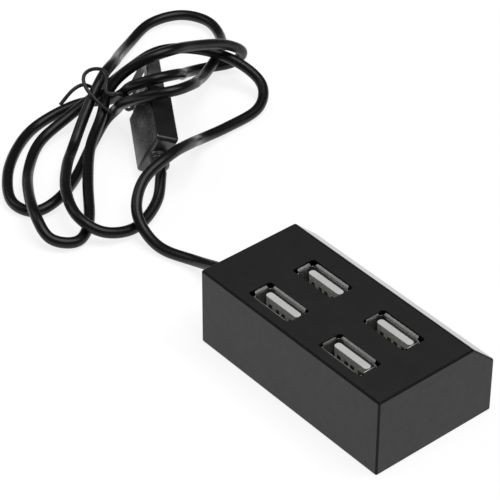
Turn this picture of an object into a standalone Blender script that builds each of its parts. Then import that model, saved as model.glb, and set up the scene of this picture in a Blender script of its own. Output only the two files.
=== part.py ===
"""Four-port USB hub: a small bus-powered hub with four upright USB-A sockets and a fixed, folded lead.

Metres, +Z up. The hub stands on the ground at z = 0 with its long side along X. The lead leaves the -X end,
is folded into loops that a twist tie holds together, and ends in a USB-A plug.
"""

from math import cos, radians, sin

import bmesh
import bpy
from mathutils import Matrix, Vector

MM = 0.001
GAP = 0.3 * MM

# Case
CASE_LENGTH = 61.5 * MM
CASE_WIDTH = 35.5 * MM
CASE_HEIGHT = 21.3 * MM
CHAMFER_ACROSS = 6.8 * MM
CHAMFER_DOWN = 6.4 * MM
SIDE_WALL = 1.5 * MM
TOP_WALL = 1.2 * MM
EDGE_ROUND = 0.45 * MM
BASE_THICKNESS = 2.2 * MM

# Sockets: the openings in the cover, and the receptacles below them
OPENING_X = (-10.3 * MM, 14.0 * MM)
OPENING_Y = (-11.4 * MM, 1.9 * MM)
OPENING_SIZE = (14.1 * MM, 6.7 * MM)
OPENING_ROUND = 0.7 * MM
RIM_THICKNESS = 0.5 * MM
RIM_MARGIN = 0.9 * MM
SOCKET_X = (-10.2 * MM, 13.5 * MM)
SOCKET_Y = (-11.2 * MM, 1.85 * MM)
MOUTH_LENGTH = 12.5 * MM
MOUTH_WIDTH = 5.12 * MM
SHEET = 0.3 * MM
LIP_REACH = 0.85 * MM
LIP_SLOPE = radians(45)
LIP_GAP = 0.1 * MM
LONG_LIP = 11.3 * MM
SHORT_LIP = 3.9 * MM
TONGUE_LENGTH = 11.1 * MM
TONGUE_THICKNESS = 1.84 * MM
TONGUE_SHIFT = 1.12 * MM
TONGUE_TIP = CASE_HEIGHT - 1.5 * MM
CONTACT_X = (-3.5 * MM, -1.0 * MM, 1.0 * MM, 3.5 * MM)
CONTACT_WIDTH = 1.0 * MM
CONTACT_THICKNESS = 0.3 * MM
CONTACT_TOP = TONGUE_TIP - 2.1 * MM
CONTACT_Y = TONGUE_SHIFT - TONGUE_THICKNESS / 2 + 0.05 * MM
FOOT_HEIGHT = 3.2 * MM
LEG_WIDTH = 1.2 * MM
LEG_X = (MOUTH_LENGTH + SHEET) / 2
LEG_TIP = 4.0 * MM

# Circuit board and what stands on it
BOARD_SIZE = (57.5 * MM, 31.5 * MM, 1.6 * MM)
BOARD_BOTTOM = 4.6 * MM
BOARD_TOP = BOARD_BOTTOM + BOARD_SIZE[2]
POSTS = ((1.65 * MM, -13 * MM), (1.65 * MM, 13 * MM), (-22 * MM, 0), (23.5 * MM, 0))
CHIP_SIZE = (9.9 * MM, 3.9 * MM, 1.5 * MM)
CHIP_PLACE = (-2 * MM, 10.3 * MM)
CRYSTAL_SIZE = (11 * MM, 4.5 * MM, 3.6 * MM)
CRYSTAL_PLACE = (-15 * MM, 10.3 * MM)
CAPACITOR_PLACES = ((11 * MM, 10.5 * MM), (17.5 * MM, 10.5 * MM))

# Screws, and the bosses that take them
BOSS_X = 25.3 * MM
BOSS_Y = 12.3 * MM
BOSS_RADIUS = 2.3 * MM
BOSS_SHOULDER = 3.1 * MM
SCREW_RADIUS = 0.85 * MM
SCREW_HEAD_RADIUS = 1.8 * MM
SCREW_TIP = 8.5 * MM
COUNTERBORE_DEPTH = 1.5 * MM

# Lead and grommet
CORD_RADIUS = 1.45 * MM
CORD_EXIT_Y = -3.0 * MM
CORD_EXIT_Z = 9.6 * MM
CORD_EXIT = Matrix.Translation((-CASE_LENGTH / 2, CORD_EXIT_Y, CORD_EXIT_Z))
CORD_INNER_END = -26.3 * MM
CORD_TURN = radians(27)
CORD_REACH = 12.0 * MM
GROMMET_NECK = 2.6 * MM
GROMMET_FLANGE = 3.1 * MM
GROMMET_FLANGE_DEPTH = 0.9 * MM
WIRE_RADIUS = 0.45 * MM
WIRE_PAD_X = -21.5 * MM
WIRE_PITCH = 1.8 * MM

# Plug: its frame has +X along the plugging direction, +Z along the plug's width
PLUG_FRONT = Vector((-104.8, 24.7, 11.05)) * MM
PLUG_YAW = radians(148.5)
PLUG_PITCH = radians(10)
PLUG_ROLL = radians(22)
OVERMOLD_SIZE = (20.0 * MM, 6.4 * MM, 13.4 * MM)
NUB_LENGTH = 3.5 * MM
NUB_RADIUS = 2.4 * MM
PLUG_SHELL_SIZE = (11.75 * MM, 4.5 * MM, 12.0 * MM)
PLUG_SHELL_ROOT = 4.0 * MM
PLUG_TONGUE = 1.7 * MM

# The route of the lead from the grommet to the plug, through points in millimetres
CORD_ROUTE = [
    (-36, -3, 9.25), (-42, -2, 7), (-53.5, -1.5, 2.5), (-64.5, -4.5, 2), (-74, -3.5, 6),
    (-79.5, 3, 10.5), (-81.5, 13.5, 12.5), (-85.5, 23, 9.5), (-91.5, 31, 4), (-93.5, 42.5, 2),
    (-95, 54, 2), (-101, 60, 4.5), (-110.5, 58, 8), (-119.5, 52, 9.5), (-124.5, 43, 10),
    (-122.5, 31.5, 10), (-119.5, 20, 9.5), (-120.5, 9, 5), (-119, -1, 2.5), (-111.5, -10, 2),
    (-101, -17.5, 4.5), (-90.5, -23, 6), (-83, -24, 3), (-79, -18.5, 1.75), (-83.5, -11.5, 2),
    (-94.5, -3.5, 4), (-105.5, 5.5, 5), (-112.5, 14.5, 7), (-115.5, 20, 12.5), (-111.5, 25.5, 19.5),
    (-108, 34, 22), (-110, 44, 18.5), (-111.5, 55.5, 13.5), (-112, 62.5, 8), (-115.5, 61.5, 3),
    (-119.5, 55, 2), (-117.5, 46.5, 5), (-109.5, 39.5, 11.5), (-102, 32.5, 18.5), (-101.5, 25, 20.5),
    (-106.5, 20.5, 17.5), (-113, 22, 11), (-118.5, 21.5, 6.5), (-124, 15, 5), (-126, 4, 2.5),
    (-122, -5.5, 2), (-113, -15.5, 2.5), (-103, -21.5, 2), (-96, -19.5, 1.75), (-95.5, -12.5, 2.5),
    (-101, -2.5, 2), (-109.5, 8.5, 1.75), (-114.5, 17, 3.5), (-113, 20, 7), (-107, 18, 13),
    (-98.5, 19.5, 19), (-94, 25.5, 20.5), (-96.5, 33.5, 18), (-105, 40.5, 11), (-112, 49, 6),
    (-118.5, 59.5, 5.5), (-127.5, 67.5, 3), (-137, 70.5, 2.5), (-144.5, 66.5, 2.5), (-147, 57.5, 2),
    (-142.5, 47, 2), (-135, 37.5, 5.5), (-126, 29.5, 11.5), (-120, 21, 13.5), (-116, 12.5, 8.5),
    (-111, 4, 3), (-103.5, -3.5, 4.5), (-93, -11.5, 6.5), (-83, -15.5, 6), (-76, -12.5, 3.5),
    (-74, -4, 2), (-77.5, 5.5, 3.5),
]

# The twist tie: one end, behind the bundle, over it, a loop, and over it again to the other end
TIE_RADIUS = 0.5 * MM
TIE_TURN = radians(25)
TIE_REACH = 4.0 * MM
TIE_ROUTE = [
    (-122, 8.25, 8.75), (-122, 10.25, 10.25), (-122, 12.25, 11.5), (-121.75, 14.25, 12.25),
    (-121.75, 16, 12), (-121.75, 17.5, 11), (-122, 19, 9.75), (-122, 20.5, 8.5), (-121.25, 22, 7.5),
    (-120, 23.25, 6.5), (-118.25, 24, 6.25), (-116.25, 24, 6.25), (-114.25, 23.25, 6.5),
    (-112.25, 22.5, 6.75), (-110.75, 22, 7.25), (-109.5, 21.75, 8), (-108.75, 21.75, 8.75),
    (-108.25, 21.75, 10), (-107.5, 21.75, 12), (-109.75, 18.5, 14.25), (-111.5, 16, 14.75),
    (-114, 18, 16.25), (-115.75, 19.25, 16.75), (-117.5, 19.75, 17), (-119, 19.25, 17),
    (-120.25, 18.25, 16.75), (-121, 17, 16.25), (-121, 15.75, 15.5), (-120, 14.75, 14.5),
    (-118, 14.25, 13.25), (-115.75, 14.5, 12), (-113.5, 15, 10.75), (-111.5, 15.75, 9.5),
    (-109.75, 16.75, 8.25),
]


def clear_scene():
    for obj in list(bpy.data.objects):
        bpy.data.objects.remove(obj, do_unlink=True)


def make_collection(name, hidden=False):
    collection = bpy.data.collections.new(name)
    bpy.context.scene.collection.children.link(collection)
    collection.hide_render = hidden
    return collection


def make_material(name, color, roughness, metallic=0.0):
    material = bpy.data.materials.new(name)
    material.use_nodes = True
    shader = material.node_tree.nodes["Principled BSDF"]
    shader.inputs["Base Color"].default_value = (*color, 1.0)
    shader.inputs["Roughness"].default_value = roughness
    shader.inputs["Metallic"].default_value = metallic
    return material


def mesh_object(name, bm, material=None):
    """The bmesh as a node, or as a cutter when it has no material."""
    bm.normal_update()
    bmesh.ops.recalc_face_normals(bm, faces=bm.faces[:])
    mesh = bpy.data.meshes.new(name)
    bm.to_mesh(mesh)
    bm.free()
    obj = bpy.data.objects.new(name, mesh)
    if material is None:
        obj.hide_render = True
        obj.display_type = "WIRE"
        CUTTERS.objects.link(obj)
    else:
        mesh.materials.append(material)
        HUB.objects.link(obj)
    return obj


def add_box(bm, size, centre, turn=None):
    place = Matrix.Translation(centre) @ (turn or Matrix.Identity(4)) @ Matrix.Diagonal((*size, 1.0))
    return bmesh.ops.create_cube(bm, size=1.0, matrix=place)["verts"]


def add_rounded_box(bm, size, centre, radius, segments=3, axis=2):
    """A box whose four edges along one axis are rounded."""
    verts = add_box(bm, size, centre)
    edges = {edge for vert in verts for edge in vert.link_edges}
    across = [i for i in range(3) if i != axis]
    along = [e for e in edges if all(abs((e.verts[0].co - e.verts[1].co)[i]) < 1e-7 for i in across)]
    bmesh.ops.bevel(bm, geom=along, offset=radius, segments=segments, profile=0.5, affect="EDGES")


def add_cylinder(bm, radius, bottom, top, x=0.0, y=0.0, segments=24, top_radius=None):
    place = Matrix.Translation((x, y, (bottom + top) / 2))
    bmesh.ops.create_cone(
        bm,
        cap_ends=True,
        segments=segments,
        radius1=radius,
        radius2=radius if top_radius is None else top_radius,
        depth=top - bottom,
        matrix=place,
    )


def join(obj, other, operation):
    modifier = obj.modifiers.new(f"{operation.lower()}_{other.name}", "BOOLEAN")
    modifier.operation = operation
    modifier.object = other
    modifier.solver = "EXACT"


def bevel(obj, width, segments=2):
    modifier = obj.modifiers.new("bevel", "BEVEL")
    modifier.width = width
    modifier.segments = segments
    modifier.limit_method = "ANGLE"
    modifier.angle_limit = radians(25)


def turned(name, profile, material, steps=32):
    """A solid of revolution about Z from a closed profile of (radius, height) points, outer side first."""
    bm = bmesh.new()
    verts = [bm.verts.new((radius, 0.0, height)) for radius, height in profile]
    for first, second in zip(verts, verts[1:] + verts[:1]):
        if first.co.x > 0 or second.co.x > 0:
            bm.edges.new((first, second))
    obj = mesh_object(name, bm, material)
    screw = obj.modifiers.new("screw", "SCREW")
    screw.steps = steps
    screw.render_steps = steps
    screw.use_merge_vertices = True
    screw.merge_threshold = 1e-5
    return obj


def tube(name, points, radius, material, resolution=2):
    curve = bpy.data.curves.new(name, "CURVE")
    curve.dimensions = "3D"
    curve.bevel_depth = radius
    curve.bevel_resolution = resolution
    curve.use_fill_caps = True
    spline = curve.splines.new("POLY")
    spline.points.add(len(points) - 1)
    for spline_point, point in zip(spline.points, points):
        spline_point.co = (*point, 1.0)
    curve.materials.append(material)
    obj = bpy.data.objects.new(name, curve)
    HUB.objects.link(obj)
    return obj


def catmull_rom(points, t):
    """The point at t, counted in points, on a smooth curve through all of them."""
    i = min(int(t), len(points) - 2)
    u = t - i
    b, c = points[i], points[i + 1]
    a = points[i - 1] if i > 0 else 2 * b - c
    d = points[i + 2] if i + 2 < len(points) else 2 * c - b
    return 0.5 * (2 * b + (c - a) * u + (2 * a - 5 * b + 4 * c - d) * u**2 + (3 * b - a - 3 * c + d) * u**3)


def thinned(points, turn, reach):
    """Keeps a point wherever the path has turned by this angle, or gone this far, since the last one."""
    kept = [points[0]]
    heading = points[1] - points[0]
    for before, here, after in zip(points, points[1:], points[2:]):
        step = after - here
        if heading.angle(step) > turn or (here - kept[-1]).length > reach:
            kept.append(here)
            heading = step
    return kept + [points[-1]]


def chamfered_block(side_inset, top_inset, bottom):
    """The case's block, chamfered along its +Y top edge, with its faces moved in by the insets."""
    bm = bmesh.new()
    height = CASE_HEIGHT - top_inset - bottom
    size = (CASE_LENGTH - 2 * side_inset, CASE_WIDTH - 2 * side_inset, height)
    add_box(bm, size, (0, 0, bottom + height / 2))
    normal = Vector((0, CHAMFER_DOWN, CHAMFER_ACROSS)).normalized()
    lower_edge = Vector((0, CASE_WIDTH / 2, CASE_HEIGHT - CHAMFER_DOWN))
    geometry = bm.verts[:] + bm.edges[:] + bm.faces[:]
    cut = bmesh.ops.bisect_plane(
        bm, geom=geometry, plane_co=lower_edge - side_inset * normal, plane_no=normal, clear_outer=True
    )
    rim = [item for item in cut["geom_cut"] if isinstance(item, bmesh.types.BMEdge)]
    bmesh.ops.contextual_create(bm, geom=rim)
    return bm


def corner_cylinders(radius, bottom, top, segments=24):
    bm = bmesh.new()
    for x in (-BOSS_X, BOSS_X):
        for y in (-BOSS_Y, BOSS_Y):
            add_cylinder(bm, radius, bottom, top, x, y, segments)
    return bm


def make_top_cover(plastic):
    """The moulded shell: walls, a top with four openings thinned around them, four screw bosses and a hole."""
    cover = mesh_object("top_cover", chamfered_block(0, 0, 0), plastic)
    bevel(cover, EDGE_ROUND)
    cavity = mesh_object("case_cavity", chamfered_block(SIDE_WALL, TOP_WALL, -1 * MM))
    join(cover, cavity, "DIFFERENCE")
    core = mesh_object("boss_limit", chamfered_block(0.5 * MM, 0.5 * MM, 0))
    shoulder = BOARD_TOP + GAP
    bosses = mesh_object("boss_shoulders", corner_cylinders(BOSS_SHOULDER, shoulder, CASE_HEIGHT))
    join(bosses, core, "INTERSECT")
    join(cover, bosses, "UNION")
    pegs = mesh_object("boss_pegs", corner_cylinders(BOSS_RADIUS, BASE_THICKNESS + GAP, shoulder + 1 * MM))
    join(cover, pegs, "UNION")
    bores = mesh_object("boss_bores", corner_cylinders(SCREW_RADIUS + GAP, 0, SCREW_TIP + 2 * GAP))
    join(cover, bores, "DIFFERENCE")
    slots = bmesh.new()
    for x in OPENING_X:
        for y in OPENING_Y:
            add_rounded_box(slots, (*OPENING_SIZE, 6 * MM), (x, y, CASE_HEIGHT), OPENING_ROUND)
    join(cover, mesh_object("top_slots", slots), "DIFFERENCE")
    recesses = bmesh.new()
    recess_size = (*(side + 2 * RIM_MARGIN for side in OPENING_SIZE), 2 * TOP_WALL)
    recess_z = CASE_HEIGHT - RIM_THICKNESS - TOP_WALL
    for x in OPENING_X:
        for y in OPENING_Y:
            add_rounded_box(recesses, recess_size, (x, y, recess_z), OPENING_ROUND)
    join(cover, mesh_object("lip_recesses", recesses), "DIFFERENCE")
    hole = bmesh.new()
    add_cylinder(hole, GROMMET_NECK + GAP, -3 * MM, 3 * MM)
    hole.transform(CORD_EXIT @ Matrix.Rotation(radians(-90), 4, "Y"))
    join(cover, mesh_object("grommet_hole", hole), "DIFFERENCE")
    return cover


def make_base_plate(plastic):
    """The bottom cover, flat underneath, with posts under the board and counterbores for the screws."""
    plate = bmesh.new()
    play = 2 * (SIDE_WALL + GAP)
    size = (CASE_LENGTH - play, CASE_WIDTH - play, BASE_THICKNESS)
    add_rounded_box(plate, size, (0, 0, BASE_THICKNESS / 2), 0.6 * MM)
    base = mesh_object("base_plate", plate, plastic)
    posts = bmesh.new()
    for x, y in POSTS:
        add_cylinder(posts, 2 * MM, BASE_THICKNESS - 0.3 * MM, BOARD_BOTTOM - GAP, x, y, 20)
    join(base, mesh_object("board_posts", posts), "UNION")
    holes = corner_cylinders(SCREW_RADIUS + GAP, -1 * MM, BASE_THICKNESS + 1 * MM)
    join(base, mesh_object("screw_holes", holes), "DIFFERENCE")
    sinks = corner_cylinders(SCREW_HEAD_RADIUS + GAP, -1 * MM, COUNTERBORE_DEPTH)
    join(base, mesh_object("screw_sinks", sinks), "DIFFERENCE")
    return base


def make_screws(steel):
    """Pan-head screws, driven up through the base plate into the cover's bosses."""
    head_bottom = GAP
    head_top = COUNTERBORE_DEPTH - GAP
    profile = [
        (0, SCREW_TIP),
        (0.3 * MM, SCREW_TIP),
        (SCREW_RADIUS, SCREW_TIP - 1 * MM),
        (SCREW_RADIUS, head_top),
        (SCREW_HEAD_RADIUS, head_top),
        (SCREW_HEAD_RADIUS, head_bottom + 0.4 * MM),
        (SCREW_HEAD_RADIUS - 0.4 * MM, head_bottom),
        (0, head_bottom),
    ]
    recess = bmesh.new()
    add_box(recess, (2.2 * MM, 0.5 * MM, 1.4 * MM), (0, 0, 0))
    slot = mesh_object("screw_slot", recess)
    places = [(x, y) for x in (-BOSS_X, BOSS_X) for y in (-BOSS_Y, BOSS_Y)]
    for number, (x, y) in enumerate(places, 1):
        screw = turned(f"case_screw_{number}", profile, steel, 24)
        screw.location = (x, y, 0)
        slot_here = slot if number == 1 else slot.copy()
        if number > 1:
            CUTTERS.objects.link(slot_here)
        slot_here.location = (x, y, 0)
        join(screw, slot_here, "DIFFERENCE")


def make_socket_shell(number, x, y, steel):
    """A bent steel box, open at the top, with flared lips, spring fingers and two solder legs."""
    bottom = BOARD_TOP + GAP
    lip_rise = LIP_REACH * sin(LIP_SLOPE)
    top = CASE_HEIGHT - RIM_THICKNESS - LIP_GAP - lip_rise
    outer = (MOUTH_LENGTH + 2 * SHEET, MOUTH_WIDTH + 2 * SHEET)
    body = bmesh.new()
    add_box(body, (*outer, top - bottom), (0, 0, (top + bottom) / 2))
    shell = mesh_object(f"socket_shell_{number}", body, steel)
    cuts = bmesh.new()
    add_box(cuts, (MOUTH_LENGTH, MOUTH_WIDTH, 30 * MM), (0, 0, bottom))
    join(shell, mesh_object(f"socket_mouth_{number}", cuts), "DIFFERENCE")
    fingers = bmesh.new()
    for side in (-1, 1):
        for across in (-3.1 * MM, 3.1 * MM):
            for edge in (-0.9 * MM, 0.9 * MM):
                slit = (0.4 * MM, 1.5 * MM, 5.0 * MM)
                add_box(fingers, slit, (across + edge, side * outer[1] / 2, top - 5.2 * MM))
    join(shell, mesh_object(f"finger_slits_{number}", fingers), "DIFFERENCE")
    lips = bmesh.new()
    reach = LIP_REACH / 2 * cos(LIP_SLOPE) - SHEET / 2
    height = top + lip_rise / 2 - SHEET / 2
    for side in (-1, 1):
        turn = Matrix.Rotation(side * LIP_SLOPE, 4, "X")
        centre = (0, side * (outer[1] / 2 + reach), height)
        add_box(lips, (LONG_LIP, LIP_REACH, SHEET), centre, turn)
        turn = Matrix.Rotation(-side * LIP_SLOPE, 4, "Y")
        centre = (side * (outer[0] / 2 + reach), 0, height)
        add_box(lips, (LIP_REACH, SHORT_LIP, SHEET), centre, turn)
    join(shell, mesh_object(f"mouth_lips_{number}", lips), "UNION")
    legs = bmesh.new()
    for side in (-1, 1):
        leg_size = (SHEET, LEG_WIDTH, bottom + 1 * MM - LEG_TIP)
        add_box(legs, leg_size, (side * LEG_X, 0, LEG_TIP + leg_size[2] / 2))
    join(shell, mesh_object(f"solder_legs_{number}", legs), "UNION")
    place_with_cutters(shell, (x, y, 0))
    return shell


def place_with_cutters(obj, location):
    """Moves an object together with the cutters that its Booleans use."""
    obj.location = location
    for modifier in obj.modifiers:
        if modifier.type == "BOOLEAN":
            modifier.object.location = location


def make_socket_tongue(number, x, y, plastic):
    """The insulator: a foot on the board, and the tongue that carries the contacts in grooves."""
    bottom = BOARD_TOP + GAP
    tongue = bmesh.new()
    length = TONGUE_TIP - bottom
    size = (TONGUE_LENGTH, TONGUE_THICKNESS, length)
    add_box(tongue, size, (0, TONGUE_SHIFT, bottom + length / 2))
    piece = mesh_object(f"socket_tongue_{number}", tongue, plastic)
    bevel(piece, 0.35 * MM)
    foot = bmesh.new()
    foot_size = (MOUTH_LENGTH - 2 * GAP, MOUTH_WIDTH - 2 * GAP, FOOT_HEIGHT)
    add_box(foot, foot_size, (0, 0, bottom + FOOT_HEIGHT / 2))
    join(piece, mesh_object(f"tongue_foot_{number}", foot), "UNION")
    grooves = bmesh.new()
    groove_top = CONTACT_TOP + GAP
    groove_bottom = bottom - 1 * MM
    size = (CONTACT_WIDTH + 2 * GAP, CONTACT_THICKNESS + 2 * GAP, groove_top - groove_bottom)
    for contact_x in CONTACT_X:
        add_box(grooves, size, (contact_x, CONTACT_Y, (groove_top + groove_bottom) / 2))
    join(piece, mesh_object(f"contact_grooves_{number}", grooves), "DIFFERENCE")
    place_with_cutters(piece, (x, y, 0))
    return piece


def make_socket_contacts(number, x, y, metal):
    bottom = BOARD_TOP + GAP
    height = CONTACT_TOP - bottom
    for pin, contact_x in enumerate(CONTACT_X, 1):
        bm = bmesh.new()
        size = (CONTACT_WIDTH, CONTACT_THICKNESS, height)
        add_box(bm, size, (x + contact_x, y + CONTACT_Y, bottom + height / 2))
        mesh_object(f"socket_{number}_contact_{pin}", bm, metal)


def make_circuit_board(laminate):
    """The board, with holes around the screw bosses and slots for the sockets' legs."""
    bm = bmesh.new()
    middle = (BOARD_BOTTOM + BOARD_TOP) / 2
    add_box(bm, BOARD_SIZE, (0, 0, middle))
    board = mesh_object("circuit_board", bm, laminate)
    holes = corner_cylinders(BOSS_RADIUS + GAP, BOARD_BOTTOM - 1 * MM, BOARD_TOP + 1 * MM)
    join(board, mesh_object("board_holes", holes), "DIFFERENCE")
    slots = bmesh.new()
    slot_size = (SHEET + 2 * GAP, LEG_WIDTH + 2 * GAP, 4 * MM)
    for x in SOCKET_X:
        for y in SOCKET_Y:
            for side in (-1, 1):
                add_box(slots, slot_size, (x + side * LEG_X, y, middle))
    join(board, mesh_object("leg_slots", slots), "DIFFERENCE")
    return board


def make_board_parts(package, can, sleeve):
    """The hub chip with its leads, the crystal and the two filter capacitors."""
    seat = BOARD_TOP + GAP
    body = bmesh.new()
    add_box(body, CHIP_SIZE, (*CHIP_PLACE, seat + CHIP_SIZE[2] / 2))
    chip = mesh_object("hub_controller", body, package)
    leads = bmesh.new()
    pitch = 1.27 * MM
    for row in (-1, 1):
        for index in range(8):
            lead_x = CHIP_PLACE[0] + (index - 3.5) * pitch
            lead_y = CHIP_PLACE[1] + row * (CHIP_SIZE[1] / 2 + 0.4 * MM)
            add_box(leads, (0.4 * MM, 1.2 * MM, 0.25 * MM), (lead_x, lead_y, seat + 0.4 * MM))
    join(chip, mesh_object("chip_leads", leads), "UNION")
    crystal = bmesh.new()
    add_rounded_box(crystal, CRYSTAL_SIZE, (*CRYSTAL_PLACE, seat + CRYSTAL_SIZE[2] / 2), 2.1 * MM, 5)
    bevel(mesh_object("crystal", crystal, can), 0.3 * MM, 1)
    for number, (x, y) in enumerate(CAPACITOR_PLACES, 1):
        bm = bmesh.new()
        add_cylinder(bm, 2.5 * MM, seat, seat + 7 * MM, x, y, 24)
        bevel(mesh_object(f"filter_capacitor_{number}", bm, sleeve), 0.3 * MM, 1)


def make_grommet(rubber):
    """A turned bush that grips the cover's end wall between two flanges; the lead runs through it."""
    bore = CORD_RADIUS + GAP
    inner_side = -SIDE_WALL - GAP
    profile = [
        (bore, GAP + GROMMET_FLANGE_DEPTH),
        (GROMMET_FLANGE - 0.4 * MM, GAP + GROMMET_FLANGE_DEPTH),
        (GROMMET_FLANGE, GROMMET_FLANGE_DEPTH - 0.1 * MM),
        (GROMMET_FLANGE, GAP),
        (GROMMET_NECK, GAP),
        (GROMMET_NECK, inner_side),
        (GROMMET_FLANGE, inner_side),
        (GROMMET_FLANGE, inner_side - GROMMET_FLANGE_DEPTH),
        (bore, inner_side - GROMMET_FLANGE_DEPTH),
    ]
    grommet = turned("cord_grommet", profile, rubber)
    grommet.matrix_world = CORD_EXIT @ Matrix.Rotation(radians(-90), 4, "Y")


def make_wires(materials):
    """The lead's four cores, fanned out from its cut end down to pads on the board."""
    start = Vector((CORD_INNER_END + GAP, CORD_EXIT_Y, CORD_EXIT_Z))
    spread = 0.6 * MM
    corners = ((-spread, spread), (-spread, -spread), (spread, -spread), (spread, spread))
    for index, ((across, up), material) in enumerate(zip(corners, materials)):
        root = start + Vector((0, across, up))
        pad = Vector((WIRE_PAD_X, CORD_EXIT_Y + (index - 1.5) * WIRE_PITCH, BOARD_TOP + GAP))
        route = [root, root + Vector((1.2 * MM, 0, 0)), pad + Vector((0, 0, 1.6 * MM)), pad]
        points = [catmull_rom(route, step / 4) for step in range(13)]
        tube(f"wire_{index + 1}", points, WIRE_RADIUS, material)


def plug_matrix():
    turn = Matrix.Rotation(PLUG_YAW, 4, "Z") @ Matrix.Rotation(-PLUG_PITCH, 4, "Y")
    return Matrix.Translation(PLUG_FRONT) @ turn @ Matrix.Rotation(PLUG_ROLL, 4, "X")


def make_plug(plastic, steel, insulator, metal):
    """A USB-A plug: overmold with a strain relief nub, steel shell, insulator and four contacts."""
    frame = bpy.data.objects.new("plug_frame", None)
    frame.matrix_world = plug_matrix()
    HUB.objects.link(frame)
    pieces = [make_overmold(plastic), make_plug_shell(steel)]
    pieces += make_plug_inside(insulator, metal)
    for piece in pieces:
        piece.parent = frame
        for modifier in piece.modifiers:
            if modifier.type == "BOOLEAN":
                modifier.object.parent = frame


def make_overmold(plastic):
    bm = bmesh.new()
    length, thickness, width = OVERMOLD_SIZE
    add_box(bm, OVERMOLD_SIZE, (-length / 2, 0, 0))
    overmold = mesh_object("plug_overmold", bm, plastic)
    bevel(overmold, 0.9 * MM, 3)
    nub = bmesh.new()
    add_cylinder(nub, NUB_RADIUS + 0.5 * MM, -1 * MM, NUB_LENGTH, segments=28, top_radius=NUB_RADIUS)
    nub.transform(Matrix.Translation((-length, 0, 0)) @ Matrix.Rotation(radians(-90), 4, "Y"))
    join(overmold, mesh_object("nub_form", nub), "UNION")
    pocket = bmesh.new()
    depth = PLUG_SHELL_ROOT + GAP
    size = (2 * depth, PLUG_SHELL_SIZE[1] + 2 * GAP, PLUG_SHELL_SIZE[2] + 2 * GAP)
    add_rounded_box(pocket, size, (0, 0, 0), 0.6 * MM, axis=0)
    join(overmold, mesh_object("shell_pocket", pocket), "DIFFERENCE")
    return overmold


def make_plug_shell(steel):
    """A flat steel tube with two latch windows through each broad side."""
    length, thickness, width = PLUG_SHELL_SIZE
    full = length + PLUG_SHELL_ROOT
    middle = (length - PLUG_SHELL_ROOT) / 2
    bm = bmesh.new()
    add_rounded_box(bm, (full, thickness, width), (middle, 0, 0), 0.7 * MM, axis=0)
    shell = mesh_object("plug_shell", bm, steel)
    inside = bmesh.new()
    hollow = (full + 2 * MM, thickness - 2 * SHEET, width - 2 * SHEET)
    add_rounded_box(inside, hollow, (middle, 0, 0), 0.4 * MM, axis=0)
    join(shell, mesh_object("plug_hollow", inside), "DIFFERENCE")
    windows = bmesh.new()
    for side in (-1, 1):
        add_box(windows, (2.0 * MM, 8 * MM, 2.4 * MM), (6.7 * MM, 0, side * 2.9 * MM))
    join(shell, mesh_object("latch_windows", windows), "DIFFERENCE")
    return shell


def make_plug_inside(plastic, metal):
    """The insulator's block and tongue, and the four contacts in its grooves, the outer two longer."""
    length, thickness, width = PLUG_SHELL_SIZE
    half_gap = thickness / 2 - SHEET - GAP
    breadth = width - 2 * (SHEET + GAP)
    tongue_length = length - 0.8 * MM + PLUG_SHELL_ROOT
    bm = bmesh.new()
    add_box(
        bm,
        (tongue_length, PLUG_TONGUE, breadth),
        (tongue_length / 2 - PLUG_SHELL_ROOT, PLUG_TONGUE / 2 - half_gap, 0),
    )
    insulator = mesh_object("plug_insulator", bm, plastic)
    block = bmesh.new()
    add_box(block, (PLUG_SHELL_ROOT, 2 * half_gap, breadth), (-PLUG_SHELL_ROOT / 2, 0, 0))
    join(insulator, mesh_object("insulator_block", block), "UNION")
    face = PLUG_TONGUE - half_gap
    grooves = bmesh.new()
    contacts = []
    for pin, across in enumerate(CONTACT_X, 1):
        contact_length = 7.4 * MM if pin in (1, 4) else 6.4 * MM
        tip = length - 1.6 * MM if pin in (1, 4) else length - 2.6 * MM
        centre = (tip - contact_length / 2, face - 0.05 * MM, across)
        strip = (contact_length, CONTACT_THICKNESS, CONTACT_WIDTH)
        add_box(grooves, [side + 2 * GAP for side in strip], centre)
        bm = bmesh.new()
        add_box(bm, strip, centre)
        contacts.append(mesh_object(f"plug_contact_{pin}", bm, metal))
    join(insulator, mesh_object("plug_grooves", grooves), "DIFFERENCE")
    return [insulator, *contacts]


def smooth_route(points, turn, reach):
    """A smooth path through the points, with vertices only where it needs them."""
    steps = 16
    count = (len(points) - 1) * steps
    return thinned([catmull_rom(points, index / steps) for index in range(count + 1)], turn, reach)


def make_cord(plastic):
    """The lead, from its cut end in the case, through the grommet and its folded loops, to the plug's nub."""
    outlet_x = -CASE_LENGTH / 2 - 2 * MM
    inner, outlet = (Vector((x, CORD_EXIT_Y, CORD_EXIT_Z)) for x in (CORD_INNER_END, outlet_x))
    nub_end = -(OVERMOLD_SIZE[0] + NUB_LENGTH + GAP)
    approach, end = (plug_matrix() @ Vector((x, 0, 0)) for x in (nub_end - 2 * MM, nub_end))
    points = [outlet, *(Vector(point) * MM for point in CORD_ROUTE), approach]
    tube("cord", [inner, *smooth_route(points, CORD_TURN, CORD_REACH), end], CORD_RADIUS, plastic)


def make_twist_tie(plastic):
    """The plastic-covered wire that holds the folded lead."""
    points = [Vector(point) * MM for point in TIE_ROUTE]
    tube("twist_tie", smooth_route(points, TIE_TURN, TIE_REACH), TIE_RADIUS, plastic, 1)


def make_sockets(steel, ivory, gold):
    places = [(x, y) for x in SOCKET_X for y in SOCKET_Y]
    for number, (x, y) in enumerate(places, 1):
        make_socket_shell(number, x, y, steel)
        make_socket_tongue(number, x, y, ivory)
        make_socket_contacts(number, x, y, gold)


clear_scene()
HUB = make_collection("usb_hub")
CUTTERS = make_collection("cutters", hidden=True)

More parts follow.
